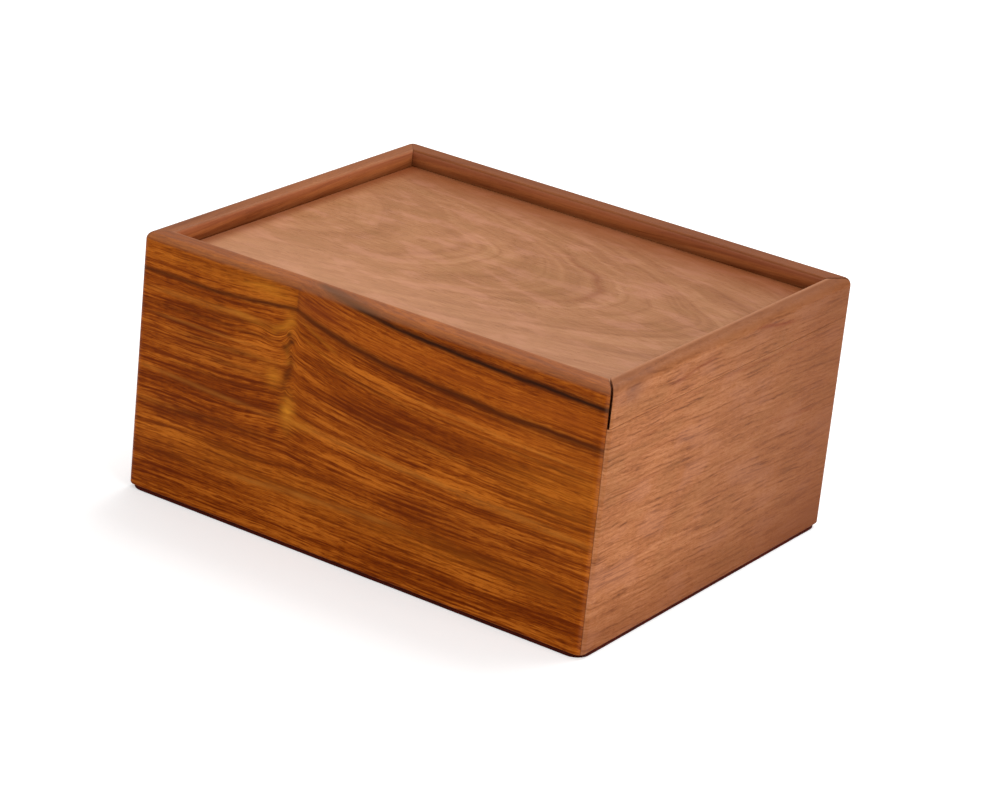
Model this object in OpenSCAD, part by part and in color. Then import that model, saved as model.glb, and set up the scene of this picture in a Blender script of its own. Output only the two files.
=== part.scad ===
// Hardwood box for a set of chessmen, with a lid that slides out at one end.
// +X points to the end where the lid comes out, -Y is the long front face, +Z is up.
// The origin is the middle of the base, on the surface that the box stands on.
// All lengths are millimetres.

/* [Box] */
// Length over the two end walls
box_l = 210; // [180:1:280]
// Width over the front and back walls
box_w = 172; // [140:1:230]
// Height from the table to the top of the rim
box_h = 104; // [80:1:140]
// Thickness of the front and back walls
side_t = 10; // [8:0.5:14]
// Thickness of the end walls and of the lid's end rail
end_t = 8; // [7:0.5:12]

/* [Rounded edges] */
// Radius along the outer edge of the rim
rim_outer_r = 3; // [1:0.25:4]
// Radius along the inner edge of the rim
rim_inner_r = 1.5; // [0.5:0.25:2]
// Radius along the foot of the walls
foot_r = 0.8; // [0.4:0.1:1.5]
// Radius of the four upright corners
corner_r = 3.5; // [1:0.25:5]

/* [Lid] */
// Depth of the lid's top face below the rim
lid_recess = 6.25; // [3:0.25:7]
// Height of the end rail that is fixed to the lid
rail_h = 15; // [13:0.5:22]
// Depth of the lid groove in the walls
groove_d = 4; // [2.5:0.25:5]
// Height of the lid groove
groove_h = 5; // [3.5:0.25:6]
// Distance from the rim down to the top of the lid groove
groove_drop = 8.5; // [7.5:0.25:9.5]
// Running clearance of the tongue in its groove, on every side
tongue_clear = 0.3; // [0.2:0.05:0.4]
// Gap between the lid's top edges and the walls
shoulder_gap = 0.8; // [0.3:0.05:1]
// Gap in the two mitres of the end rail, square to the joint
mitre_gap = 0.9; // [0.3:0.1:1.2]
// Gap under the end rail
rail_gap = 0.15; // [0.1:0.05:0.6]
// Radius along the lid's top edges
lid_edge_r = 0.8; // [0.4:0.1:1.5]

/* [Base] */
// Thickness of the bottom panel
bottom_t = 4; // [3:0.5:6]
// Depth of the rebate that the bottom panel sits in
rebate_d = 5; // [3:0.5:6]
// Thickness of the felt under the base
base_felt_t = 1.5; // [1:0.25:2.5]
// How far the base felt stops short of the outer faces
base_felt_inset = 0.4; // [0.2:0.1:4]
// Radius of the base felt's corners
base_felt_corner_r = 6; // [2:0.5:12]

/* [Divider] */
// Thickness of the divider
divider_t = 6; // [4:0.5:8]
// How deep the divider's ends are let into the long walls
housing_d = 2.5; // [1.5:0.25:4]
// Gap between the divider and the closed lid
divider_gap = 2.5; // [1:0.5:6]

/* [Lining] */
// Thickness of the lining felt
lining_t = 1; // [0.75:0.25:1.5]
// Distance from the rim down to the top of the side linings
lining_drop = 19; // [17:0.5:30]

/* [Corner splines] */
// Thickness of the hidden splines in the mitres
spline_t = 1.5; // [1:0.25:2]
// Distance from the table to the foot of a spline, and from the rail to its head
spline_margin = 9; // [8:1:20]

/* [Hidden] */
$fn = 48;

// Every cut runs this far past the face that it opens
overrun = 1;
// Width of a spline as a share of an end wall's thickness
spline_w_share = 0.6;
// Distance of a spline from the inside corner, along the mitre, as a share of the mitre
spline_place_share = 0.42;

foot_z = base_felt_t;
wall_h = box_h - foot_z;
inner_l = box_l - 2 * end_t;
inner_w = box_w - 2 * side_t;
floor_z = foot_z + bottom_t;
rail_z = box_h - rail_h;
groove_z = box_h - groove_drop - groove_h;
lid_top_z = box_h - lid_recess;
tongue_z = groove_z + tongue_clear;
tongue_t = groove_h - 2 * tongue_clear;
opening_wall_h = rail_z - rail_gap - foot_z;
lining_z = floor_z + lining_t;
lining_top_z = box_h - lining_drop;
mitre_l = sqrt(end_t * end_t + side_t * side_t);
mitre_turn = atan2(side_t, end_t);
rail_end_gap = mitre_gap * mitre_l / end_t;
spline_w = spline_w_share * end_t;
spline_z = foot_z + spline_margin;
spline_top_z = rail_z - rail_gap - spline_margin;

wall_brown = [0.56, 0.31, 0.13];
end_brown = [0.62, 0.38, 0.25];
lid_brown = [0.67, 0.46, 0.33];
ply_brown = [0.74, 0.60, 0.42];
felt_wine = [0.27, 0.06, 0.07];

// What rounding takes off a square edge: the edge is at the origin, and the wood is right and below
module edge_round(r) {
    difference() {
        translate([-overrun, -r]) square([r + overrun, r + overrun]);
        translate([r, -r]) circle(r);
    }
}

// A rectangle with the four corner squares left out
module cross_plan(l, w, r) {
    square([l - 2 * r, w], center = true);
    square([l, w - 2 * r], center = true);
}

// Puts a copy of something at the middle of each round corner of a rectangle
module at_corners(l, w, r) {
    for (x = [-1, 1], y = [-1, 1]) translate([x * (l / 2 - r), y * (w / 2 - r), 0]) children();
}

// Section through an upright corner, from its axis outwards, rolled over at the rim and the foot
module corner_section() {
    difference() {
        translate([0, foot_z]) square([corner_r, wall_h]);
        translate([corner_r, box_h]) mirror([1, 0]) edge_round(rim_outer_r);
        translate([corner_r, foot_z]) rotate(180) edge_round(foot_r);
    }
}

// Outer form of the closed box, with its rounded upright corners
module box_form() {
    linear_extrude(box_h) cross_plan(box_l, box_w, corner_r);
    at_corners(box_l, box_w, corner_r) rotate_extrude() corner_section();
}

// Section of a rimmed piece: the outer face is at 0 and the inner face at t
module rim_section(t, h) {
    difference() {
        square([t, h]);
        translate([0, h]) edge_round(rim_outer_r);
        translate([t, h]) mirror([1, 0]) edge_round(rim_inner_r);
        translate([t - groove_d, h - groove_drop - groove_h])
            square([groove_d + overrun, groove_h]);
    }
}

// What is cut from the foot of a wall's section: the outer arris, and the rebate for the bottom panel
module foot_section(t) {
    mirror([0, 1]) edge_round(foot_r);
    translate([t - rebate_d, -overrun]) square([rebate_d + overrun, bottom_t + overrun]);
}

// Sweeps a section along X, with its outer face on the front of the box
module along_front(length, z) {
    translate([-length / 2, -box_w / 2, z]) rotate([90, 0, 90]) linear_extrude(length) children();
}

// Sweeps a section along Y, with its outer face on the end at +X
module along_end(length, z) {
    translate([box_l / 2, -length / 2, z]) rotate([90, 0, 180]) linear_extrude(length) children();
}

// Plan of a long wall between its mitres
module front_plan() {
    polygon([
        [-box_l / 2, -box_w / 2], [box_l / 2, -box_w / 2],
        [inner_l / 2, -inner_w / 2], [-inner_l / 2, -inner_w / 2]
    ]);
}

// Plan of an end piece between its mitres, each end drawn back by a gap along the wall
module end_plan(gap = 0) {
    polygon([
        [box_l / 2, -box_w / 2 + gap], [box_l / 2, box_w / 2 - gap],
        [inner_l / 2, inner_w / 2 - gap], [inner_l / 2, -inner_w / 2 + gap]
    ]);
}

// One spline at the corner of +X and +Y, square to the mitre
module spline() {
    away = spline_place_share * mitre_l;
    translate([inner_l / 2, inner_w / 2, spline_z])
        rotate([0, 0, mitre_turn])
            translate([away - spline_t / 2, -spline_w / 2, 0])
                cube([spline_t, spline_w, spline_top_z - spline_z]);
}

// The four splines of the box
module splines() {
    for (x = [0, 1], y = [0, 1]) mirror([x, 0, 0]) mirror([0, y, 0]) spline();
}

// Front wall, grooved for the lid, rebated for the bottom and housed for the divider
module long_wall() {
    difference() {
        intersection() {
            along_front(box_l, foot_z) difference() {
                rim_section(side_t, wall_h);
                foot_section(side_t);
            }
            linear_extrude(box_h) front_plan();
            box_form();
        }
        translate([-divider_t / 2, -inner_w / 2 - housing_d, floor_z])
            cube([divider_t, housing_d + overrun, groove_z + tongue_clear - floor_z]);
        splines();
    }
}

module front_wall() {
    color(wall_brown) long_wall();
}

module back_wall() {
    color(wall_brown) mirror([0, 1, 0]) long_wall();
}

// End wall of full height, which the lid's far edge slides into
module closed_end_wall() {
    color(end_brown) mirror([1, 0, 0]) difference() {
        intersection() {
            along_end(box_w, foot_z) difference() {
                rim_section(end_t, wall_h);
                foot_section(end_t);
            }
            linear_extrude(box_h) end_plan();
            box_form();
        }
        splines();
    }
}

// Lower end wall, which the lid passes over
module opening_end_wall() {
    color(end_brown) difference() {
        intersection() {
            along_end(box_w, foot_z) difference() {
                square([end_t, opening_wall_h]);
                foot_section(end_t);
            }
            linear_extrude(box_h) end_plan();
            box_form();
        }
        splines();
    }
}

module corner_splines() {
    color(ply_brown) splines();
}

// Bottom panel, flush with the feet of the walls
module bottom_panel() {
    color(ply_brown) translate([-inner_l / 2 - rebate_d, -inner_w / 2 - rebate_d, foot_z])
        cube([inner_l + 2 * rebate_d, inner_w + 2 * rebate_d, bottom_t]);
}

module base_felt() {
    l = box_l - 2 * base_felt_inset;
    w = box_w - 2 * base_felt_inset;
    color(felt_wine) linear_extrude(base_felt_t) {
        cross_plan(l, w, base_felt_corner_r);
        at_corners(l, w, base_felt_corner_r) circle(base_felt_corner_r);
    }
}

// Divider across the middle, with a rounded top edge
module centre_divider() {
    width = inner_w + 2 * housing_d;
    height = groove_z + tongue_clear - divider_gap - floor_z;
    color(wall_brown) translate([0, width / 2, floor_z]) rotate([90, 0, 0]) linear_extrude(width) {
        translate([-divider_t / 2, 0]) square([divider_t, height - divider_t / 2]);
        translate([0, height - divider_t / 2]) circle(divider_t / 2);
    }
}

// Felt on the floor of the compartment at +X
module floor_felt() {
    translate([divider_t / 2, -inner_w / 2, floor_z])
        cube([inner_l / 2 - divider_t / 2, inner_w, lining_t]);
}

// Felt on the four sides of the compartment at +X
module side_felts() {
    height = lining_top_z - lining_z;
    near_x = divider_t / 2;
    far_x = inner_l / 2;
    for (x = [near_x, far_x - lining_t])
        translate([x, -inner_w / 2, lining_z]) cube([lining_t, inner_w, height]);
    for (y = [-inner_w / 2, inner_w / 2 - lining_t])
        translate([near_x + lining_t, y, lining_z])
            cube([far_x - near_x - 2 * lining_t, lining_t, height]);
}

module floor_felt_left() {
    color(felt_wine) mirror([1, 0, 0]) floor_felt();
}

module floor_felt_right() {
    color(felt_wine) floor_felt();
}

module side_felts_left() {
    color(felt_wine) mirror([1, 0, 0]) side_felts();
}

module side_felts_right() {
    color(felt_wine) side_felts();
}

// Lid panel: a field between the walls, over a tongue that runs in the grooves
module lid_panel() {
    field_w = inner_w - 2 * shoulder_gap;
    field_x = -inner_l / 2 + shoulder_gap;
    field_l = inner_l / 2 - field_x;
    field_h = lid_top_z - tongue_z;
    tongue_x = -inner_l / 2 - groove_d + tongue_clear;
    tongue_l = inner_l / 2 + groove_d - tongue_x;
    tongue_w = inner_w + 2 * groove_d - 2 * tongue_clear;
    color(lid_brown) {
        difference() {
            translate([field_x, 0, tongue_z]) rotate([90, 0, 90]) linear_extrude(field_l)
                difference() {
                    translate([-field_w / 2, 0]) square([field_w, field_h]);
                    for (side = [0, 1]) mirror([side, 0])
                        translate([-field_w / 2, field_h]) edge_round(lid_edge_r);
                }
            translate([field_x, inner_w / 2, lid_top_z]) rotate([90, 0, 0])
                linear_extrude(inner_w) edge_round(lid_edge_r);
        }
        translate([tongue_x, -tongue_w / 2, tongue_z]) cube([tongue_l, tongue_w, tongue_t]);
    }
}

// End rail, cut from the same end as the wall below it and glued to the lid panel
module lid_end_rail() {
    color(end_brown) intersection() {
        along_end(box_w, rail_z) rim_section(end_t, rail_h);
        linear_extrude(box_h) end_plan(rail_end_gap);
        box_form();
    }
}

front_wall();
back_wall();
closed_end_wall();
opening_end_wall();
corner_splines();
bottom_panel();
base_felt();
centre_divider();
floor_felt_left();
floor_felt_right();
side_felts_left();
side_felts_right();
lid_panel();
lid_end_rail();
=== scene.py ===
"""Chess box of figured hardwood with a sliding lid: finish, felts, light and camera.

The frame gives every wooden piece at its place. This script gives each board its
own figure and lacquer, makes the felts, and sets the studio. Lengths are metres,
but places in the materials are in millimetres.
"""
import math

import bmesh
import bpy
from mathutils import Matrix, Vector, noise


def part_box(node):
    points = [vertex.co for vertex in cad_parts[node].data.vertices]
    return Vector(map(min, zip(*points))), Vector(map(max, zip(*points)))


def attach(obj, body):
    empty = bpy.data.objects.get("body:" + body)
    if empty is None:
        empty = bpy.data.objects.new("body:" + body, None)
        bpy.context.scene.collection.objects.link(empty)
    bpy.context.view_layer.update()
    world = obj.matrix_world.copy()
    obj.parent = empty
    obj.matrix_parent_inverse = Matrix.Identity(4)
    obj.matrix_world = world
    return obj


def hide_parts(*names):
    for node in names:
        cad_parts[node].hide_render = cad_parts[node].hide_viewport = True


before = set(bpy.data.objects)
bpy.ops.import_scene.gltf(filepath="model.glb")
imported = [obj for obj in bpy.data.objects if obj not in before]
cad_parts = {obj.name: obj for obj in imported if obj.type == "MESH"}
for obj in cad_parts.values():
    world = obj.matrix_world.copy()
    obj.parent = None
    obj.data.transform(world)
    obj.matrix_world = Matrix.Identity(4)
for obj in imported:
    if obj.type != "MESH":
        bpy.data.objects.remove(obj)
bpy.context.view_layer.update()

MM = 0.001

# Sizes of the box, taken from the frame and turned into millimetres
BACK_LOW, BACK_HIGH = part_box("back_wall")
END_LOW, END_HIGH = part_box("opening_end_wall")
LID_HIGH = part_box("lid_panel")[1]
HALF_L = END_HIGH.x / MM
HALF_W = BACK_HIGH.y / MM
BOX_H = BACK_HIGH.z / MM
END_T = (END_HIGH.x - END_LOW.x) / MM
SIDE_T = (BACK_HIGH.y - BACK_LOW.y) / MM
LID_Z = LID_HIGH.z / MM


def srgb(red, green, blue):
    """A colour written as on a screen, 0 to 255, as linear light with alpha."""
    def linear(level):
        level /= 255
        return level / 12.92 if level <= 0.04045 else ((level + 0.055) / 1.055) ** 2.4
    return (linear(red), linear(green), linear(blue), 1.0)


# Node trees written as expressions

# The colour sockets of a Mix node, whose names its other sockets share
MIX_FACTOR, MIX_FIRST, MIX_SECOND, MIX_RESULT = 0, 6, 7, 2


def operator(operation, swapped=False):
    """A Python operator that adds one Math node."""
    def apply(self, other):
        pair = (other, self) if swapped else (self, other)
        return self.tree.math(operation, *pair)
    return apply


class Wire:
    """An output socket that can be used in Python expressions."""

    def __init__(self, tree, socket):
        self.tree = tree
        self.socket = socket

    __add__ = operator("ADD")
    __radd__ = operator("ADD", swapped=True)
    __sub__ = operator("SUBTRACT")
    __rsub__ = operator("SUBTRACT", swapped=True)
    __mul__ = operator("MULTIPLY")
    __rmul__ = operator("MULTIPLY", swapped=True)
    __truediv__ = operator("DIVIDE")
    __rtruediv__ = operator("DIVIDE", swapped=True)


class Tree:
    """A node tree, of a material or of geometry, that is written as expressions."""

    def __init__(self, nodes):
        self.nodes = nodes

    def node(self, kind, settings=None, sockets=None, output=0):
        """Adds a node: its settings first, then values or wires for its sockets.

        output is the name or number of the output wanted, or a tuple of them.
        """
        made = self.nodes.nodes.new(kind)
        for key, value in (settings or {}).items():
            if key == "stops":
                self.set_stops(made.color_ramp, value)
            else:
                setattr(made, key, value)
        for key, value in (sockets or {}).items():
            if isinstance(value, Wire):
                self.nodes.links.new(value.socket, made.inputs[key])
            else:
                made.inputs[key].default_value = value
        if not made.outputs:
            return made
        if isinstance(output, tuple):
            return [Wire(self, made.outputs[label]) for label in output]
        return Wire(self, made.outputs[output])

    def set_stops(self, ramp, stops):
        while len(ramp.elements) < len(stops):
            ramp.elements.new(1.0)
        for element, (place, colour) in zip(ramp.elements, stops):
            element.position = place
            element.color = colour

    def math(self, operation, *values):
        return self.node("ShaderNodeMath", {"operation": operation}, dict(enumerate(values)))

    def size(self, value):
        return self.math("ABSOLUTE", value)

    def most(self, first, second):
        return self.math("MAXIMUM", first, second)

    def hump(self, value, middle, spread):
        """1 at the middle, falling away on both sides as a bell."""
        away = (value - middle) / spread
        return self.math("EXPONENT", 0 - away * away)

    def split(self, vector):
        return self.node("ShaderNodeSeparateXYZ", None, {"Vector": vector}, ("X", "Y", "Z"))

    def noise(self, x, y, z, detail=1.0, roughness=0.5, distortion=0.0):
        """Soft noise, about 0 to 1, whose lumps are one unit of x, y and z across."""
        point = self.node("ShaderNodeCombineXYZ", None, {"X": x, "Y": y, "Z": z})
        return self.node(
            "ShaderNodeTexNoise", {"noise_dimensions": "3D"},
            {"Vector": point, "Scale": 1.0, "Detail": detail, "Roughness": roughness,
             "Distortion": distortion},
        )

    def swing(self, x, y, z, detail=1.0, roughness=0.5):
        """The same noise about zero, from -0.5 to 0.5."""
        return self.noise(x, y, z, detail, roughness) - 0.5


class Recipe(Tree):
    """The node tree of one material."""

    def __init__(self, name):
        self.material = bpy.data.materials.new(name)
        self.material.use_nodes = True
        super().__init__(self.material.node_tree)
        self.nodes.nodes.clear()

    def ease(self, value, low, high, start=0.0, end=1.0):
        """Goes smoothly from start to end as value goes from low to high."""
        return self.node(
            "ShaderNodeMapRange", {"interpolation_type": "SMOOTHSTEP"},
            {"Value": value, "From Min": low, "From Max": high, "To Min": start, "To Max": end},
        )

    def place(self):
        """The place on the piece, as three wires in millimetres."""
        point = self.node("ShaderNodeTexCoord", output="Object")
        return [part / MM for part in self.split(point)]

    def facing(self):
        """The outward normal of the piece, as three wires."""
        return self.split(self.node("ShaderNodeTexCoord", output="Normal"))

    def ramp(self, factor, stops):
        return self.node("ShaderNodeValToRGB", {"stops": stops}, {"Fac": factor})

    def mix(self, factor, first, second):
        """The first colour, covered by the second as far as the factor says."""
        return self.node(
            "ShaderNodeMix", {"data_type": "RGBA"},
            {MIX_FACTOR: factor, MIX_FIRST: first, MIX_SECOND: second}, MIX_RESULT,
        )

    def bump(self, height, distance, strength):
        sockets = {"Height": height, "Distance": distance, "Strength": strength}
        return self.node("ShaderNodeBump", None, sockets)

    def cloud(self, u, v, middle, spread):
        """A soft oval patch, with its middle and half sizes given as (u, v)."""
        return self.hump(u, middle[0], spread[0]) * self.hump(v, middle[1], spread[1])

    def stroke(self, u, v, start, end, width):
        """A soft line from start to end, both of them (u, v), that fades at its tips."""
        run = math.dist(start, end)
        cos = (end[0] - start[0]) / run
        sin = (end[1] - start[1]) / run
        along = (u - start[0]) * cos + (v - start[1]) * sin
        across = (v - start[1]) * cos - (u - start[0]) * sin
        tips = self.ease(along, -0.15 * run, 0.2 * run) * self.ease(along, 1.15 * run, 0.8 * run)
        return self.hump(across, 0.0, width) * tips

    def surface(self, sockets):
        """Ends the recipe in one Principled shader."""
        shader = self.node("ShaderNodeBsdfPrincipled", None, sockets)
        self.node("ShaderNodeOutputMaterial", None, {"Surface": shader})
        return self.material


# The figure of each board: the place along its grain, across its rings and into its depth

KNOT_X = -31.0
LOWER_STREAK_Z = 85.0
STREAK_RISE = 15.3

# How the front's rings rise on the left of the knot, and how they fall away on its right
KNOT_CLIMB = 5.4
KNOT_SWELL = 3.6
FALL_HEIGHT = 13.0
FALL_REACH = 38.0
FALL_END = 4.1


def front_figure(r, x, y, z):
    """Straight grain that climbs to a knot on the left and falls away from it to the right."""
    left = KNOT_CLIMB + KNOT_SWELL * r.hump(x, KNOT_X, 22.0)
    right = r.math("EXPONENT", (KNOT_X - x) / FALL_REACH) * FALL_HEIGHT - FALL_END
    bend = left + (right - left) * r.ease(x, KNOT_X - 1.5, KNOT_X + 2.0)
    held = r.ease(z, 22.0, 82.0, 0.12, 1.0)
    hook = r.hump(x, KNOT_X - 9.0, 6.0) * 2.2 - r.hump(x, KNOT_X - 1.5, 2.4) * 3.0
    hooked = hook * r.hump(z, 80.0, 8.0)
    sweep = r.swing(x / 60.0, z / 14.0, y / 20.0) * 3.0
    curl = r.swing(x / 4.0, z / 6.0, y / 9.0) * 5.0
    curl_place = r.hump(x, KNOT_X - 1.5, 4.0) * r.ease(z, 44.0, 60.0) * r.ease(z, 90.0, 84.0)
    ring = z - LOWER_STREAK_Z - bend * held + (y + HALF_W) * 0.45
    return x, ring + sweep * r.ease(z, 84.0, 66.0) + curl * curl_place + hooked, y


def front_calm(r, x, y, z):
    """The wood is plainer above the lower streak, so that the two streaks stand out."""
    return r.ease(z, 90.0, 80.0, 0.55, 1.0)


def back_figure(r, x, y, z):
    """Long lazy waves."""
    sweep = r.swing(x / 75.0 + 7.3, z / 18.0, y / 20.0) * 9.0
    return x, z + sweep - x * 0.025 + (y - HALF_W) * 0.4, y


def opening_figure(r, x, y, z):
    """Nearly level lines that fall a little to the back."""
    sweep = r.swing(y / 55.0 + 3.1, z / 16.0, x / 20.0) * 4.0
    return y, z + sweep + y * 0.03 + (x - HALF_L) * 0.4, x


def closed_figure(r, x, y, z):
    """Lines that rise a little to the back, with slow waves."""
    sweep = r.swing(y / 60.0 + 11.7, z / 15.0, x / 20.0) * 6.0
    return y, z + sweep - y * 0.04 - (x + HALF_L) * 0.4, x


ARCH_Y = 2.0
ARCH_TIP_X = 38.0
ARCH_ROUND = 34.0
ARCH_SCALE = 0.34


def lid_figure(r, x, y, z):
    """A flat-sawn board: blunt nested arches that point to the opening end."""
    sweep = r.swing(x / 45.0 + 5.5, y / 26.0, z / 20.0, 1.5) * 16.0
    across = y - ARCH_Y + sweep * 0.5
    ring = (x + across * across / ARCH_ROUND + sweep) * ARCH_SCALE
    return x, ring + (z - LID_Z) * 0.5, z


def lid_calm(r, x, y, z):
    """The arches are faint at the closed end and clear near the opening end."""
    return r.ease(x, -70.0, 20.0, 0.35, 0.75)


def divider_figure(r, x, y, z):
    """Level grain across the box."""
    sweep = r.swing(y / 50.0 + 1.9, z / 15.0, x / 20.0) * 5.0
    return y, z + sweep, x


# Colours: four stops from the dark lines to the pale wood between them

def palette(*colours):
    places = (0.08, 0.36, 0.58, 0.92)
    return [(place, srgb(*colour)) for place, colour in zip(places, colours)]


FRONT_COLOURS = palette((106, 38, 0), (129, 55, 3), (155, 73, 8), (198, 108, 28))
BACK_COLOURS = palette((92, 42, 18), (134, 70, 34), (164, 94, 50), (194, 120, 70))
# The opening end's and the lid's colours are paler and rosier than the front's: partly their own tone,
# partly a painted sheen of the pale room
END_COLOURS = palette((116, 64, 39), (154, 92, 54), (179, 111, 67), (207, 140, 95))
LID_COLOURS = palette((118, 70, 42), (152, 99, 62), (170, 115, 76), (194, 140, 100))
PORE_BROWN = srgb(62, 23, 3)
STREAK_BROWN = srgb(50, 19, 5)
STREAK_RED = srgb(78, 30, 3)
CURL_BROWN = srgb(80, 32, 2)
DEEP_BROWN = srgb(110, 46, 8)
MITRE_BROWN = srgb(52, 24, 10)
# Painted shade at the foot of the rims' inner faces
FOOT_SHADE_BROWN = srgb(84, 22, 2)
RED_BROWN = srgb(128, 54, 26)
DULL_BROWN = srgb(122, 72, 44)
# Painted shade on the opening end
END_SHADE_BROWN = srgb(124, 63, 24)
# Painted shade on the lid
LID_SHADE_BROWN = srgb(124, 62, 30)
BURNT_ORANGE = srgb(176, 86, 22)
GOLDEN_BROWN = srgb(186, 106, 24)
KNOT_GOLD = srgb(212, 132, 34)
PALE_ORANGE = srgb(210, 130, 48)
OLIVE_TAN = srgb(150, 102, 58)
ROSE_TAN = srgb(204, 142, 114)
INNER_ROSE = srgb(168, 100, 70)
# Painted light on the rims' inner faces
PALE_ROSE = srgb(212, 156, 122)
# Wear on the arrises, and a painted highlight on the rims' inner arrises
RIM_WEAR_AND_HIGHLIGHT = srgb(204, 146, 110)
BLOT_GREY = srgb(126, 82, 66)

# How each rim's light is painted: the colour painted on its top in place of its sheen and shade, how far
# it covers, and the strength of the painted highlight, partly wear, on its inner arris
FRONT_RIM = (srgb(148, 98, 68), 0.52, 0.35)
BACK_RIM = (srgb(114, 62, 32), 0.75, 0.0)
CLOSED_RIM = (srgb(132, 80, 48), 0.60, 0.10)
RAIL_RIM = (srgb(124, 74, 44), 0.60, 0.95)


# The wood

# Shares of each layer of the figure in the board's tone, from 0, dark, to 1, pale
MEAN_TONE = 0.60
DRIFT_SHARE = 0.75
RING_SHARE = 1.1
LINE_SHARE = 0.6
DARK_LINE_SHARE = 0.22
FLECK_SHARE = 0.26
FIBRE_SHARE = 0.55
RIPPLE_SHARE = 0.12

# How far each mark covers the wood: pores, worn arrises that are in part a painted highlight, painted
# light on the inner faces, painted shade at their foot, and the mitres' glue
PORE_COVER = 0.45
ARRIS_COVER = 0.10
INNER_COVER = 0.60
FOOT_SHADE_COVER = 0.50
MITRE_COVER = 0.5

LACQUER_IOR = 1.47
LACQUER_ROUGHNESS = 0.36
PORE_DEPTH = 0.05 * MM


def mitre_line(r, x, y):
    """The hair of glue that shows along each mitre."""
    into_end = (HALF_L - r.size(x)) / END_T
    into_side = (HALF_W - r.size(y)) / SIDE_T
    away = r.size(into_end - into_side) * (END_T * SIDE_T / math.hypot(END_T, SIDE_T))
    return r.ease(away, 0.22, 0.04)


def rim_painted_light_and_glue(r, colour, x, y, z, up, arris, rim):
    """Painted light and shade on the rim: the top is painted by the way it faces, the inner face lighter
    and rosier towards its top, painted shade at its foot, and a painted highlight, partly wear, on the
    inner arris. The mitres keep their glue line.
    """
    top, cover, arris_highlight = rim
    into = r.most(r.size(x) - (HALF_L - END_T), r.size(y) - (HALF_W - SIDE_T))
    inner = r.ease(into, 0.4, 0.1)
    # Painted sheen and shade: faces that look up take the colour given for the rim's top
    colour = r.mix(r.ease(up, 0.02, 0.75) * cover, colour, top)
    # Painted light: the inner face grows lighter and rosier towards its top
    colour = r.mix(r.ease(z, LID_Z + 2.0, BOX_H - 1.0) * inner * INNER_COVER, colour, INNER_ROSE)
    # Painted highlight, partly wear, along the inner arris and the inner edge of the top
    edge = r.most(arris, r.ease(up, 0.5, 0.9) * 0.5) * r.ease(into, 3.0, 1.0)
    colour = r.mix(edge * arris_highlight, colour, RIM_WEAR_AND_HIGHLIGHT)
    # Painted shade at the foot of the inner face, where it meets the lid
    foot_shade = r.ease(z, LID_Z + 2.8, LID_Z + 0.3) * r.ease(z, LID_Z - 3.0, LID_Z - 1.0)
    colour = r.mix(foot_shade * inner * FOOT_SHADE_COVER, colour, FOOT_SHADE_BROWN)
    return r.mix(mitre_line(r, x, y) * MITRE_COVER, colour, MITRE_BROWN)


def arris_wear_and_highlight(r, x, y, z, normal):
    """Where the surface turns an edge, in patches: polished there by hands, and the mask of a painted
    highlight too.
    """
    squareness = r.most(r.most(r.size(normal[0]), r.size(normal[1])), r.size(normal[2]))
    scuffs = r.noise(x / 9.0, y / 9.0, z / 9.0, 3.0, 0.6)
    return r.ease(squareness, 0.99, 0.80) * r.ease(scuffs, 0.3, 0.7, 0.4, 1.0)


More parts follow.
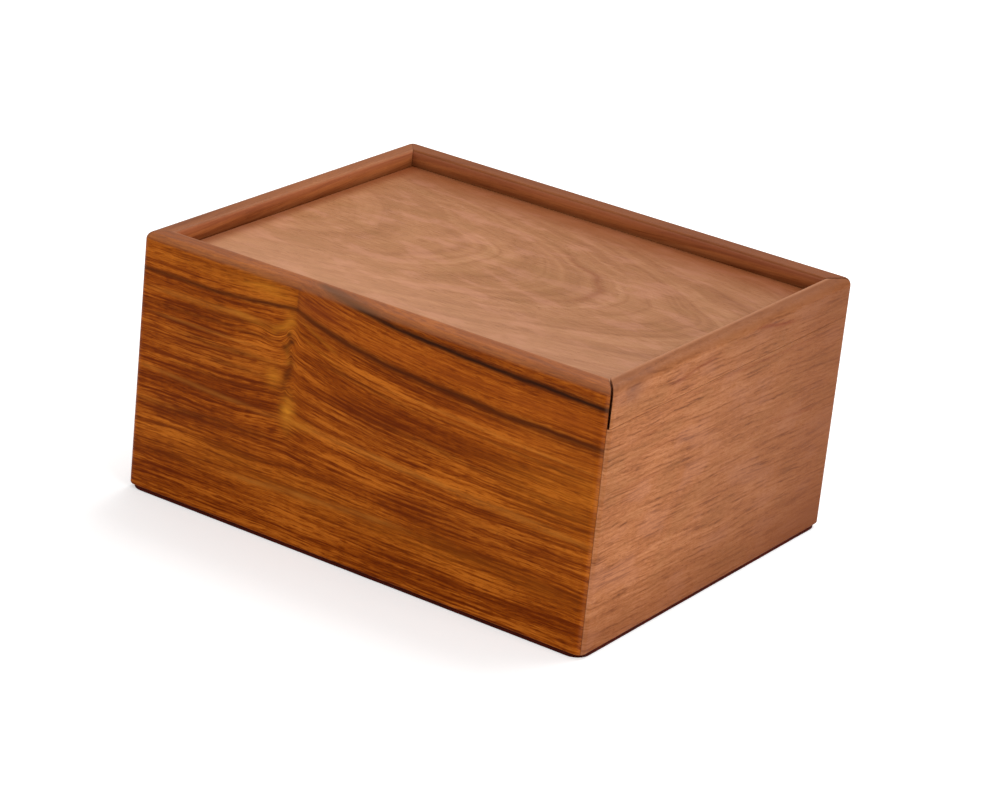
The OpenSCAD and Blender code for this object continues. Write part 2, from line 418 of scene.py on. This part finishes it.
def wood(
    name, figure, colours, bold=1.0, ringed=1.0, lined=1.0, flecked=1.0, reach=1.0,
    calm=None, marks=None, rim=None, gloss=0.08, flat_sawn=False,
):
    """Lacquered rosewood: drift, rings, dark lines, fibres and open pores along the figure.

    bold is the strength of the whole figure, and ringed, lined and flecked are the
    strengths of its rings, dark lines and flecks. reach stretches them all along the
    grain. calm says where the figure is plainer, marks lays in what only this board
    has, rim paints light and shade on the rim, and gloss is the lacquer's specular level. The fibres of a
    flat_sawn board run straight under the arches of its rings.
    """
    r = Recipe(name)
    x, y, z = r.place()
    along, ring, depth = figure(r, x, y, z)
    along = along / reach
    if calm:
        clear = calm(r, x, y, z)
        ringed = clear * ringed
        lined = clear * lined
    wave = r.swing(along / 16.0, ring / 3.0, depth / 9.0) * 0.8
    ring = ring + wave
    grain = y + wave if flat_sawn else ring

    drift = r.swing(along / 80.0, ring / 13.0, depth / 40.0)
    rings = r.swing(along / 110.0, ring / 3.6, depth / 50.0, 2.0, 0.6)
    lines = r.noise(along / 55.0, ring / 0.95, depth / 12.0, 2.0, 0.55)
    clusters = r.noise(along / 50.0 + 9.0, ring / 6.0, depth / 20.0)
    dark_lines = r.ease(lines, 0.50, 0.68) * r.ease(clusters, 0.36, 0.62, 0.2, 1.0)
    fibres = r.swing(along / 8.0, grain / 0.28, depth / 0.7, 2.0, 0.6)
    flecks = r.ease(r.noise(along / 9.0, grain / 0.62, depth / 2.0), 0.50, 0.72)
    ripple = r.swing(along / 5.0, ring / 14.0, depth / 8.0, 2.0, 0.55)
    tone = MEAN_TONE + (
        (drift * DRIFT_SHARE + rings * RING_SHARE) * ringed
        + ((0.5 - lines) * LINE_SHARE - dark_lines * DARK_LINE_SHARE) * lined
        - flecks * flecked * FLECK_SHARE + fibres * FIBRE_SHARE + ripple * RIPPLE_SHARE
    ) * bold
    colour = r.ramp(tone, colours)

    grit = r.noise(along / 2.9, grain / 0.30, depth / 0.45)
    pores = r.ease(grit, 0.61, 0.69) * r.ease(clusters, 0.65, 0.3, 0.35, 1.0)
    colour = r.mix(pores * flecked * PORE_COVER, colour, PORE_BROWN)
    if marks:
        colour = marks(r, colour, x, y, z, ring)

    normal = r.facing()
    arris = arris_wear_and_highlight(r, x, y, z, normal)
    # Wear on every arris, lighter in patches, which is also a painted highlight in part
    colour = r.mix(arris * ARRIS_COVER, colour, RIM_WEAR_AND_HIGHLIGHT)
    if rim:
        colour = rim_painted_light_and_glue(r, colour, x, y, z, normal[2], arris, rim)

    relief = fibres * 0.35 + lines * 0.25 - pores
    return r.surface({
        "Base Color": colour,
        "Roughness": LACQUER_ROUGHNESS + pores * 0.2 + fibres * 0.12 + arris * 0.06,
        "Normal": r.bump(relief, PORE_DEPTH, 0.7),
        "IOR": LACQUER_IOR, "Specular IOR Level": gloss,
    })


# What only the front has, with places on it as (x, z)

# Clouds: middle, half width and half height, cover, colour
FRONT_CLOUDS = [
    ((-70.0, 99.0), (34.0, 5.0), 0.22, GOLDEN_BROWN), ((92.0, 62.0), (30.0, 18.0), 0.34, GOLDEN_BROWN),
    ((-64.0, 84.0), (26.0, 3.0), 0.20, GOLDEN_BROWN), ((-62.0, 26.0), (46.0, 7.0), 0.24, GOLDEN_BROWN),
    ((40.0, 22.0), (70.0, 6.0), 0.24, GOLDEN_BROWN), ((-72.0, 66.0), (28.0, 8.0), 0.34, DEEP_BROWN),
    ((8.0, 59.0), (34.0, 7.0), 0.26, DEEP_BROWN), ((-74.0, 39.0), (34.0, 4.0), 0.30, DEEP_BROWN),
    ((60.0, 35.0), (46.0, 6.0), 0.30, DEEP_BROWN), ((60.0, 99.0), (60.0, 3.0), 0.12, RED_BROWN),
    ((22.0, 92.0), (34.0, 4.0), 0.40, BURNT_ORANGE), ((80.0, 88.0), (36.0, 5.0), 0.45, BURNT_ORANGE),
    ((66.0, 74.0), (50.0, 6.0), 0.30, BURNT_ORANGE),
]
# Golden glints round the knot: middle, half width and half height, cover
KNOT_GLINTS = [
    ((-45.0, 98.5), (12.0, 3.2), 0.46), ((-33.4, 89.0), (2.6, 3.6), 0.44),
    ((-39.5, 65.0), (3.8, 3.4), 0.50), ((-31.8, 53.5), (3.0, 6.0), 0.85),
    ((-26.0, 50.0), (6.0, 2.0), 0.46),
]
# Golden strokes round the knot: start, end, half width, cover
KNOT_GOLDS = [
    ((-60.0, 85.5), (-41.0, 83.0), 1.3, 0.26), ((-42.0, 82.8), (-33.6, 87.0), 1.6, 0.50),
    ((-34.6, 80.0), (-33.2, 72.0), 1.0, 0.34), ((-29.0, 90.5), (-12.0, 82.5), 0.9, 0.20),
    ((-29.0, 85.0), (-8.0, 76.5), 0.8, 0.18),
]
# Dark curls of the knot: start, end, half width, cover
KNOT_CURLS = [
    ((-34.6, 84.5), (-31.4, 80.5), 1.5, 0.70), ((-31.6, 82.0), (-35.4, 77.5), 1.2, 0.60),
    ((-36.4, 78.5), (-31.6, 75.5), 1.4, 0.55), ((-31.4, 76.5), (-33.4, 66.0), 2.0, 0.50),
    ((-33.0, 68.0), (-35.6, 61.0), 1.6, 0.42), ((-30.6, 104.0), (-30.9, 93.0), 0.6, 0.30),
]
# Dark and pale lines that stand out: start, end, half width, cover
FRONT_DARKS = [
    ((-100.0, 78.0), (-38.0, 79.5), 0.9, 0.40), ((-84.0, 69.5), (-36.0, 70.5), 1.2, 0.45),
    ((-70.0, 64.0), (-42.0, 64.5), 1.0, 0.40), ((-20.0, 77.0), (40.0, 69.0), 0.9, 0.40),
    ((10.0, 62.0), (96.0, 55.0), 1.2, 0.30), ((-104.0, 38.0), (-40.0, 41.0), 1.3, 0.40),
    ((20.0, 73.0), (100.0, 67.5), 0.7, 0.35), ((-92.0, 57.5), (-50.0, 57.0), 0.8, 0.30),
]
FRONT_PALES = [
    ((-28.0, 50.0), (104.0, 44.0), 1.3, 0.42), ((-104.0, 52.0), (-34.0, 49.5), 1.0, 0.30),
    ((-60.0, 20.5), (20.0, 25.0), 1.2, 0.38), ((-100.0, 83.5), (-44.0, 85.0), 1.0, 0.34),
    ((10.0, 76.0), (104.0, 71.0), 0.7, 0.30), ((-96.0, 74.0), (-46.0, 74.5), 0.7, 0.26),
]
FRONT_STROKES = [
    (FRONT_PALES, PALE_ORANGE), (KNOT_GOLDS, KNOT_GOLD), (FRONT_DARKS + KNOT_CURLS, CURL_BROWN),
]


def front_streaks(r, colour, x, y, z, level, broken):
    """The two dark streaks that run from the knot. The upper one smears over the rim."""
    right = r.ease(x, KNOT_X - 4.0, KNOT_X + 6.0)
    past_knot = right * r.ease(y, SIDE_T * 0.9 - HALF_W, SIDE_T / 2 - HALF_W)
    lower = r.hump(level, 0.0, 1.05 + past_knot * 0.25) * r.ease(broken, 0.2, 0.55, 0.62, 0.88)
    shade = r.hump(level, -1.2, 2.4) * past_knot * 0.28
    for streak in (shade, lower):
        colour = r.mix(streak, colour, STREAK_RED)
    upper = r.hump(level, STREAK_RISE, 1.1) * past_knot * r.ease(broken, 0.2, 0.5, 0.7, 1.0)
    on_rim = r.ease(z, 100.5, 103.0) * r.ease(x, KNOT_X + 48.0, KNOT_X + 30.0)
    smear = r.hump(level, STREAK_RISE + 0.6, 2.4) * past_knot * (on_rim * 0.62 + 0.24)
    for streak in (smear, upper):
        colour = r.mix(streak, colour, STREAK_BROWN)
    return colour


def front_marks(r, colour, x, y, z, ring):
    """Clouds, the curls and glints of the knot, and two dark streaks."""
    wander = r.swing(x / 24.0, z / 30.0, y / 20.0, 2.0) * 1.2
    broken = r.noise(x / 16.0 + 4.0, ring / 2.0, y / 9.0, 2.0)
    outside = r.ease(y, SIDE_T / 2 - HALF_W, SIDE_T / 4 - HALF_W)
    patchy = r.ease(broken, 0.3, 0.7, 0.5, 1.2) * outside
    for middle, spread, cover, cloud_colour in FRONT_CLOUDS:
        cloud = r.cloud(x, z + wander, middle, spread)
        colour = r.mix(cloud * cover * patchy, colour, cloud_colour)
    for middle, spread, cover in KNOT_GLINTS:
        colour = r.mix(r.cloud(x, z, middle, spread) * cover * patchy, colour, KNOT_GOLD)
    past_column = r.ease(x, KNOT_X - 0.6, KNOT_X + 0.4) * r.ease(x, KNOT_X + 34.0, KNOT_X + 6.0)
    colour = r.mix(past_column * r.hump(z, 97.0, 6.0) * 0.40, colour, RED_BROWN)
    for strokes, paint in FRONT_STROKES:
        for start, end, width, cover in strokes:
            drawn = r.stroke(x, z + wander, start, end, width) * patchy
            colour = r.mix(drawn * cover, colour, paint)
    return front_streaks(r, colour, x, y, z, ring + wander, broken)


# What only the opening end has, with places on it as (y, z)

# Red streaks: start, end, half width, cover
END_REDS = [
    ((-44.0, 95.0), (-16.0, 98.0), 0.7, 0.55), ((14.0, 101.5), (42.0, 97.5), 0.8, 0.55),
    ((-60.0, 88.6), (64.0, 86.0), 0.5, 0.28), ((-84.0, 79.0), (-30.0, 80.5), 0.5, 0.26),
    ((-70.0, 72.0), (-34.0, 72.5), 0.6, 0.22), ((-84.0, 62.5), (-46.0, 62.0), 0.5, 0.24),
    ((30.0, 60.0), (66.0, 55.5), 0.6, 0.26), ((-66.0, 31.0), (-40.0, 33.0), 0.6, 0.18),
]
END_BLOT = ((-73.0, 101.0), (8.0, 5.0))


def opening_marks(r, colour, x, y, z, ring):
    """Rosy and olive clouds, a blot at the upper front corner, and painted shade that deepens towards the
    back and the foot.
    """
    clouds = r.noise(y / 22.0, z / 12.0 + 4.0, x / 12.0, 2.0)
    colour = r.mix(r.ease(clouds, 0.50, 0.66) * 0.18, colour, ROSE_TAN)
    colour = r.mix(r.ease(clouds, 0.48, 0.32) * 0.18, colour, OLIVE_TAN)
    # Painted shade that deepens from the front corner towards the middle; the face is also a little
    # darker near its top
    duller = r.ease(y, -58.0, 20.0, 0.0, 0.34) + r.ease(z, 86.0, 97.0, 0.0, 0.08)
    colour = r.mix(duller, colour, DULL_BROWN)
    # Painted shade, deepest at the back and at the foot
    shade_to_back_and_foot = r.ease(y, 10.0, 86.0, 0.0, 0.50) + r.ease(z, 30.0, 0.0, 0.0, 0.42)
    colour = r.mix(shade_to_back_and_foot, colour, END_SHADE_BROWN)
    patches = r.noise(y / 12.0, z / 5.0, x / 9.0, 2.0)
    wander = (patches - 0.5) * 2.0
    for start, end, width, cover in END_REDS:
        colour = r.mix(r.stroke(y, z + wander, start, end, width) * cover, colour, RED_BROWN)
    blot = r.cloud(y, z, *END_BLOT) * r.ease(patches, 0.3, 0.6) * 0.75
    return r.mix(blot, colour, BLOT_GREY)


# The dark heart of the lid's arches: middle, half length and half width, as (x, y)
LID_HEART = ((20.0, 6.0), (17.0, 13.0))


def lid_marks(r, colour, x, y, z, ring):
    """Clouds, the dark line of one arch, a paler front, and painted shade along the back and the closed
    end.
    """
    clouds = r.noise(x / 20.0, y / 9.0 + 7.0, z / 9.0, 3.0, 0.6)
    colour = r.mix(r.ease(clouds, 0.50, 0.66) * 0.34, colour, ROSE_TAN)
    colour = r.mix(r.ease(clouds, 0.48, 0.32) * 0.36, colour, OLIVE_TAN)
    tip = r.hump(ring, ARCH_TIP_X * ARCH_SCALE, 0.6)
    fade = r.ease(y, -16.0, 4.0) * r.ease(y, 40.0, 22.0)
    colour = r.mix(tip * fade * 0.34, colour, RED_BROWN)
    colour = r.mix(r.cloud(x, y, *LID_HEART) * 0.30, colour, OLIVE_TAN)
    colour = r.mix(r.ease(y, -8.0, -70.0, 0.0, 0.34), colour, PALE_ROSE)
    colour = r.mix(r.ease(x, -30.0, 70.0, 0.0, 0.20), colour, DULL_BROWN)
    # Painted shade: a little darker towards the back, then deep along the back wall
    back_shade = r.ease(y, 10.0, 50.0, 0.0, 0.16) + r.ease(y, 48.0, 72.0, 0.0, 0.56)
    colour = r.mix(back_shade, colour, LID_SHADE_BROWN)
    # Painted shade along the closed end wall
    return r.mix(r.ease(x, -88.0, -95.0, 0.0, 0.74), colour, LID_SHADE_BROWN)


FRONT_WOOD = wood(
    "front_board", front_figure, FRONT_COLOURS, bold=1.45, ringed=0.85, lined=1.05, flecked=0.85,
    reach=0.65, calm=front_calm, marks=front_marks, rim=FRONT_RIM, gloss=0.045,
)
BACK_WOOD = wood(
    "back_board", back_figure, BACK_COLOURS, bold=0.75, lined=0.6, flecked=0.4, rim=BACK_RIM,
)
OPENING_WOOD = wood(
    "opening_end_board", opening_figure, END_COLOURS, bold=1.05, ringed=0.32, flecked=0.55,
    reach=0.34, marks=opening_marks, rim=RAIL_RIM, gloss=0.04,
)
CLOSED_WOOD = wood(
    "closed_end_board", closed_figure, BACK_COLOURS, bold=0.8, lined=0.6, flecked=0.4, rim=CLOSED_RIM,
)
LID_WOOD = wood(
    "lid_board", lid_figure, LID_COLOURS, ringed=0.9, lined=0.45, flecked=0.7, calm=lid_calm,
    marks=lid_marks, flat_sawn=True,
)
DIVIDER_WOOD = wood("divider_board", divider_figure, BACK_COLOURS, bold=0.8, flecked=0.5)


# Ply and felt

# A pale and a dark veneer together
VENEER_PAIR = 1.33


def raw_birch(name):
    """Plain pale ply for what is hidden: the bottom panel and the splines."""
    r = Recipe(name)
    x, y, z = r.place()
    veins = r.noise(x / 60.0, y / 2.2, z / 3.0, 3.0, 0.6)
    plies = r.ease(r.math("SINE", z * (math.tau / VENEER_PAIR)), -0.3, 0.3)
    colour = r.ramp(veins * 0.8 + plies * 0.15, [
        (0.25, srgb(176, 138, 92)), (0.55, srgb(200, 164, 116)), (0.8, srgb(214, 182, 136)),
    ])
    return r.surface({
        "Base Color": colour, "Roughness": 0.62 + (veins - 0.5) * 0.2,
        "Normal": r.bump(veins, 0.1 * MM, 0.5), "Specular IOR Level": 0.3,
    })


def felt(name, deep, pale, nap):
    """Pressed wool: clouded colour, matted fibres and a dull nap with a tint of its own."""
    r = Recipe(name)
    x, y, z = r.place()
    clouds = r.noise(x / 9.0, y / 9.0, z / 9.0, 3.0, 0.6)
    matting = r.noise(x / 0.7, y / 0.7, z / 0.7, 3.0, 0.7, 1.5)
    strands = r.noise(x / 0.25, y / 1.8, z / 1.1, 2.0, 0.6, 0.8)
    tone = 0.5 + (clouds - 0.5) * 0.7 + (matting - 0.5) * 0.9 + (strands - 0.5) * 0.5
    return r.surface({
        "Base Color": r.mix(r.ease(tone, 0.1, 0.9), deep, pale),
        "Roughness": 0.92 + (matting - 0.5) * 0.1,
        "Normal": r.bump(matting + strands * 0.6 + clouds * 0.5, 0.3 * MM, 0.8),
        "Sheen Weight": 0.18, "Sheen Roughness": 0.5, "Sheen Tint": nap, "Specular IOR Level": 0.12,
    })


PLY = raw_birch("birch_ply")
LINING = felt("lining_felt", srgb(78, 15, 19), srgb(132, 36, 38), srgb(214, 120, 120))
BASE = felt("base_felt", srgb(46, 7, 1), srgb(84, 21, 8), srgb(150, 62, 36))

NODE_FINISH = {
    "front_wall": FRONT_WOOD,
    "back_wall": BACK_WOOD,
    "closed_end_wall": CLOSED_WOOD,
    "opening_end_wall": OPENING_WOOD,
    "lid_end_rail": OPENING_WOOD,
    "lid_panel": LID_WOOD,
    "centre_divider": DIVIDER_WOOD,
    "bottom_panel": PLY,
    "corner_splines": PLY,
}

for node_name, finish in NODE_FINISH.items():
    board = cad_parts[node_name]
    board.data.materials.clear()
    board.data.materials.append(finish)


# Felt mats: the base felt and the two floor felts

BASE_CORNER = 6.0 * MM
MAT_CORNER = 0.5 * MM
CORNER_STEPS = 6
CUT_STEP = 2.5 * MM

# The cut wanders in by up to this much, in lumps of this length
CUT_WAVE = 0.12 * MM
CUT_LUMP = 9 * MM

# A mat's cut edge, from its foot to its top: height and draw-in, as shares of the thickness
EDGE_SHARES = [(0.0, 0.10), (0.12, 0.02), (0.5, 0.0), (0.86, 0.04), (0.96, 0.12), (1.0, 0.26)]


def rounded_outline(low, high, radius):
    """A rectangle with round corners, anticlockwise, with its points and outward directions."""
    outline = []
    corners = [(high.x, high.y, 0), (low.x, high.y, 90), (low.x, low.y, 180), (high.x, low.y, 270)]
    for x, y, start in corners:
        middle_x = x - math.copysign(radius, x - (low.x + high.x) / 2)
        middle_y = y - math.copysign(radius, y - (low.y + high.y) / 2)
        for step in range(CORNER_STEPS + 1):
            turn = math.radians(start + 90 * step / CORNER_STEPS)
            out = Vector((math.cos(turn), math.sin(turn)))
            outline.append((Vector((middle_x, middle_y)) + out * radius, out))
    return outline


def stepped(outline, step):
    """The outline with extra points on its straight runs."""
    full = []
    for (here, out), (after, out_after) in zip(outline, outline[1:] + outline[:1]):
        parts = max(1, round((after - here).length / step))
        for part in range(parts):
            share = part / parts
            full.append((here.lerp(after, share), out.lerp(out_after, share).normalized()))
    return full


def cut_loop(mesh, outline, base, height, draw_in):
    """One level of a mat's edge: the outline, drawn in and with the wander of the cut."""
    loop = []
    for place, out in outline:
        wave = noise.noise(Vector((place.x, place.y, height)) / CUT_LUMP)
        spot = place - out * (draw_in + CUT_WAVE * (0.5 + 0.5 * wave))
        loop.append(mesh.verts.new((spot.x, spot.y, base + height)))
    return loop


def felt_mat(name, node, radius, finish):
    """A mat of felt in the place of a CAD node, with hand-cut, slightly crushed edges."""
    low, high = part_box(node)
    thick = high.z - low.z
    outline = stepped(rounded_outline(low, high, radius), CUT_STEP)
    mesh = bmesh.new()
    loops = [
        cut_loop(mesh, outline, low.z, height * thick, draw_in * thick) for height, draw_in in EDGE_SHARES
    ]
    for under, over in zip(loops, loops[1:]):
        for index in range(len(outline)):
            after = (index + 1) % len(outline)
            mesh.faces.new((under[index], under[after], over[after], over[index]))
    mesh.faces.new(loops[0][::-1])
    mesh.faces.new(loops[-1])
    data = bpy.data.meshes.new(name)
    mesh.to_mesh(data)
    mesh.free()
    data.materials.append(finish)
    piece = bpy.data.objects.new(name, data)
    bpy.context.collection.objects.link(piece)
    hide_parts(node)
    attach(piece, "box")


felt_mat("under_felt", "base_felt", BASE_CORNER, BASE)
felt_mat("floor_mat_left", "floor_felt_left", MAT_CORNER, LINING)
felt_mat("floor_mat_right", "floor_felt_right", MAT_CORNER, LINING)


# Lining bands: one strip of felt round the walls of each compartment

class Pattern(Tree):
    """A Geometry Nodes tree with named inputs."""

    def __init__(self, name, inputs):
        super().__init__(bpy.data.node_groups.new(name, "GeometryNodeTree"))
        face = self.nodes.interface
        face.new_socket("Geometry", in_out="INPUT", socket_type="NodeSocketGeometry")
        self.sockets = {
            label: face.new_socket(label, in_out="INPUT", socket_type=kind).identifier
            for label, kind in inputs.items()
        }
        face.new_socket("Geometry", in_out="OUTPUT", socket_type="NodeSocketGeometry")
        self.entry = self.nodes.nodes.new("NodeGroupInput")

    def given(self, label):
        return Wire(self, self.entry.outputs[label])

    def finish(self, geometry):
        """Ends the tree in plain geometry with its material."""
        plain = self.node("GeometryNodeRealizeInstances", None, {"Geometry": geometry})
        clad = self.node(
            "GeometryNodeSetMaterial", None, {"Geometry": plain, "Material": self.given("Material")},
        )
        self.node("NodeGroupOutput", None, {"Geometry": clad})

    def apply(self, name, start, values):
        """Runs the tree on an object and gives a plain mesh object in its place."""
        modifier = start.modifiers.new(name, "NODES")
        modifier.node_group = self.nodes
        for label, value in values.items():
            modifier[self.sockets[label]] = value
        depsgraph = bpy.context.evaluated_depsgraph_get()
        data = bpy.data.meshes.new_from_object(start.evaluated_get(depsgraph))
        start.modifiers.remove(modifier)
        bpy.data.objects.remove(start)
        data.name = name
        piece = bpy.data.objects.new(name, data)
        bpy.context.collection.objects.link(piece)
        return piece


BAND_THICK = 1.0 * MM
BAND_UNEVEN = 0.35 * MM
BAND_LUMP = 14 * MM
BAND_STEP = 3 * MM
FOLD_RADIUS = 1.2 * MM


def band_pattern():
    """Sweeps a strip of felt along a path, on edge, and gives its face a soft unevenness."""
    g = Pattern("lining_band", {
        "Height": "NodeSocketFloat", "Thickness": "NodeSocketFloat",
        "Unevenness": "NodeSocketFloat", "Seed": "NodeSocketFloat",
        "Material": "NodeSocketMaterial",
    })
    upright = g.node("GeometryNodeSetCurveNormal", {"mode": "Z_UP"}, {"Curve": g.given("Geometry")})
    section = g.node(
        "GeometryNodeCurvePrimitiveQuadrilateral", None,
        {"Width": g.given("Thickness"), "Height": g.given("Height")},
    )
    soft = g.node(
        "GeometryNodeFilletCurve", {"mode": "POLY"},
        {"Curve": section, "Count": 3, "Radius": g.given("Thickness") * 0.3},
    )
    fine = g.node("GeometryNodeSubdivideCurve", None, {"Curve": soft, "Cuts": 10})
    strip = g.node(
        "GeometryNodeCurveToMesh", None,
        {"Curve": upright, "Profile Curve": fine, "Fill Caps": True},
    )
    x, y, z = g.split(g.node("GeometryNodeInputPosition"))
    swell = g.swing(x / BAND_LUMP + g.given("Seed"), y / BAND_LUMP, z / BAND_LUMP, 2.0)
    push = g.node(
        "ShaderNodeVectorMath", {"operation": "SCALE"},
        {"Vector": g.node("GeometryNodeInputNormal"), "Scale": swell * g.given("Unevenness")},
    )
    g.finish(g.node("GeometryNodeSetPosition", None, {"Geometry": strip, "Offset": push}))
    return g


def band_path(name, low, high, thick, seam_at_high):
    """The middle line of a band: round the compartment, open at a seam in its back corner."""
    inset = Vector((thick, thick, 0)) * 0.5
    inner_low = low + inset
    inner_high = high - inset
    corners = rounded_outline(inner_low, inner_high, FOLD_RADIUS)
    outline = [place for place, out in stepped(corners, BAND_STEP)]
    corner = Vector(((inner_high if seam_at_high else inner_low).x, inner_high.y))
    near = min(range(len(outline)), key=lambda index: (outline[index] - corner).length)
    outline = outline[near + 1:] + outline[:near]
    curve = bpy.data.curves.new(name, "CURVE")
    curve.dimensions = "3D"
    spline = curve.splines.new("POLY")
    spline.points.add(len(outline) - 1)
    middle_z = (low.z + high.z) / 2
    for point, place in zip(spline.points, outline):
        point.co = (place.x, place.y, middle_z, 1.0)
    path = bpy.data.objects.new(name + "_path", curve)
    bpy.context.collection.objects.link(path)
    run = sum((after - here).length for here, after in zip(outline, outline[1:]))
    return path, run


BAND = band_pattern()


def lining_band(name, node, seam_at_high, seed):
    """The felt band of one compartment, a hair clear of the walls that carry it."""
    low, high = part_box(node)
    thick = BAND_THICK - BAND_UNEVEN
    clear = Vector((1, 1, 1)) * BAND_UNEVEN / 2
    path, run = band_path(name, low + clear, high - clear, thick, seam_at_high)
    height = high.z - low.z - BAND_UNEVEN
    piece = BAND.apply(name, path, {
        "Height": height, "Thickness": thick, "Unevenness": BAND_UNEVEN, "Seed": seed,
        "Material": LINING,
    })
    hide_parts(node)
    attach(piece, "box")


lining_band("side_band_left", "side_felts_left", True, 2.0)
lining_band("side_band_right", "side_felts_right", False, 5.0)


# Studio

WHITE = (1, 1, 1, 1)
PAPER_GREY = (0.84, 0.84, 0.84, 1.0)
FLOOR_SIZE = 6.0
FLOOR_DROP = 0.1 * MM

# The paper's glow in the camera's eye: distance from the box in millimetres, and strength
GLOW_NEAR, GLOW_NEAR_LEVEL = 150.0, 0.42
GLOW_FAR, GLOW_FAR_LEVEL = 800.0, 0.60

# The opening in the floor under the box, in millimetres: how far it stays inside
# the box's sides and corners, and how softly it ends
UNDER_MARGIN = 1.6
UNDER_CORNER = 6.0
UNDER_EASE = 0.2

# Strength of the world: as light, and as the camera sees it
WORLD_LIGHT = 0.45
WORLD_SEEN = 1.0

# The camera stands where the photograph's did, and is turned to the box
CAMERA_PLACE = (0.685, -1.073, 0.552)
CAMERA_AIM = (0.0052, 0.0005, 0.046)
CAMERA_ROLL = math.radians(-6.04)
CAMERA_LENS = 128.4
SENSOR_W = 36.0
CLIP_NEAR = 0.01
CLIP_FAR = 20.0

BOX_MIDDLE = (0, 0, 0.05)
# Softboxes: place, width, height, watts
SOFTBOXES = {
    "top_light": ((0.1, 0.7, 1.2), 1.2, 1.0, 14.5),
    "right_light": ((1.35, -0.3, 0.7), 1.0, 0.9, 8),
    "front_light": ((-0.7, -1.5, 0.8), 1.0, 0.9, 6),
}


def under_box(r, x, y):
    """Where the floor lies hidden under the box: within its sides, and short of its round corners."""
    def within(distance, limit):
        return r.ease(distance, limit, limit - UNDER_EASE)
    off_x = r.size(x)
    off_y = r.size(y)
    sides = within(off_x, HALF_L - UNDER_MARGIN) * within(off_y, HALF_W - UNDER_MARGIN)
    return sides * within(off_x + off_y, HALF_L + HALF_W - UNDER_CORNER)


def studio_floor():
    """A pale floor, a hair under the felt. It is clear from below and open under the box."""
    bpy.ops.mesh.primitive_plane_add(size=FLOOR_SIZE, location=(0, 0, -FLOOR_DROP))
    floor = bpy.context.object
    floor.name = "studio_floor"
    r = Recipe("floor_paper")
    x, y, z = r.place()
    away = r.math("SQRT", x * x + y * y)
    glow = r.ease(away, GLOW_NEAR, GLOW_FAR, GLOW_NEAR_LEVEL, GLOW_FAR_LEVEL)
    seen = r.node("ShaderNodeLightPath", output="Is Camera Ray")
    shine = r.node("ShaderNodeEmission", None, {"Color": WHITE, "Strength": seen * glow})
    matt = r.node("ShaderNodeBsdfDiffuse", None, {"Color": PAPER_GREY})
    paper = r.node("ShaderNodeAddShader", None, {0: matt, 1: shine})
    clear = r.node("ShaderNodeBsdfTransparent")
    underside = r.node("ShaderNodeNewGeometry", output="Backfacing")
    opened = r.most(underside, under_box(r, x, y))
    surface = r.node("ShaderNodeMixShader", None, {0: opened, 1: paper, 2: clear})
    r.node("ShaderNodeOutputMaterial", None, {"Surface": surface})
    floor.data.materials.append(r.material)


def studio_world():
    """An even sky, which the camera sees as white."""
    world = bpy.data.worlds.new("studio")
    bpy.context.scene.world = world
    world.use_nodes = True
    tree = Tree(world.node_tree)
    tree.nodes.nodes.clear()
    seen = tree.node("ShaderNodeLightPath", output="Is Camera Ray")
    level = tree.node(
        "ShaderNodeMapRange", None, {"Value": seen, "To Min": WORLD_LIGHT, "To Max": WORLD_SEEN},
    )
    sky = tree.node("ShaderNodeBackground", None, {"Color": WHITE, "Strength": level})
    tree.node("ShaderNodeOutputWorld", None, {"Surface": sky})


def softbox(name, place, width, height, watts):
    """A rectangle of light, turned to the box."""
    data = bpy.data.lights.new(name, "AREA")
    data.shape = "RECTANGLE"
    data.size = width
    data.size_y = height
    data.energy = watts
    lamp = bpy.data.objects.new(name, data)
    bpy.context.collection.objects.link(lamp)
    lamp.location = place
    lamp.rotation_mode = "QUATERNION"
    lamp.rotation_quaternion = (Vector(BOX_MIDDLE) - Vector(place)).to_track_quat("-Z", "Y")


def studio_camera():
    data = bpy.data.cameras.new("camera")
    data.lens = CAMERA_LENS
    data.sensor_width = SENSOR_W
    data.clip_start = CLIP_NEAR
    data.clip_end = CLIP_FAR
    camera = bpy.data.objects.new("camera", data)
    bpy.context.collection.objects.link(camera)
    look = Vector(CAMERA_AIM) - Vector(CAMERA_PLACE)
    turn = look.to_track_quat("-Z", "Y").to_matrix() @ Matrix.Rotation(-CAMERA_ROLL, 3, "Z")
    camera.matrix_world = Matrix.Translation(CAMERA_PLACE) @ turn.to_4x4()
    bpy.context.scene.camera = camera


studio_camera()
studio_floor()
studio_world()
for light_name, light in SOFTBOXES.items():
    softbox(light_name, *light)
bpy.context.scene.view_settings.view_transform = "Standard"
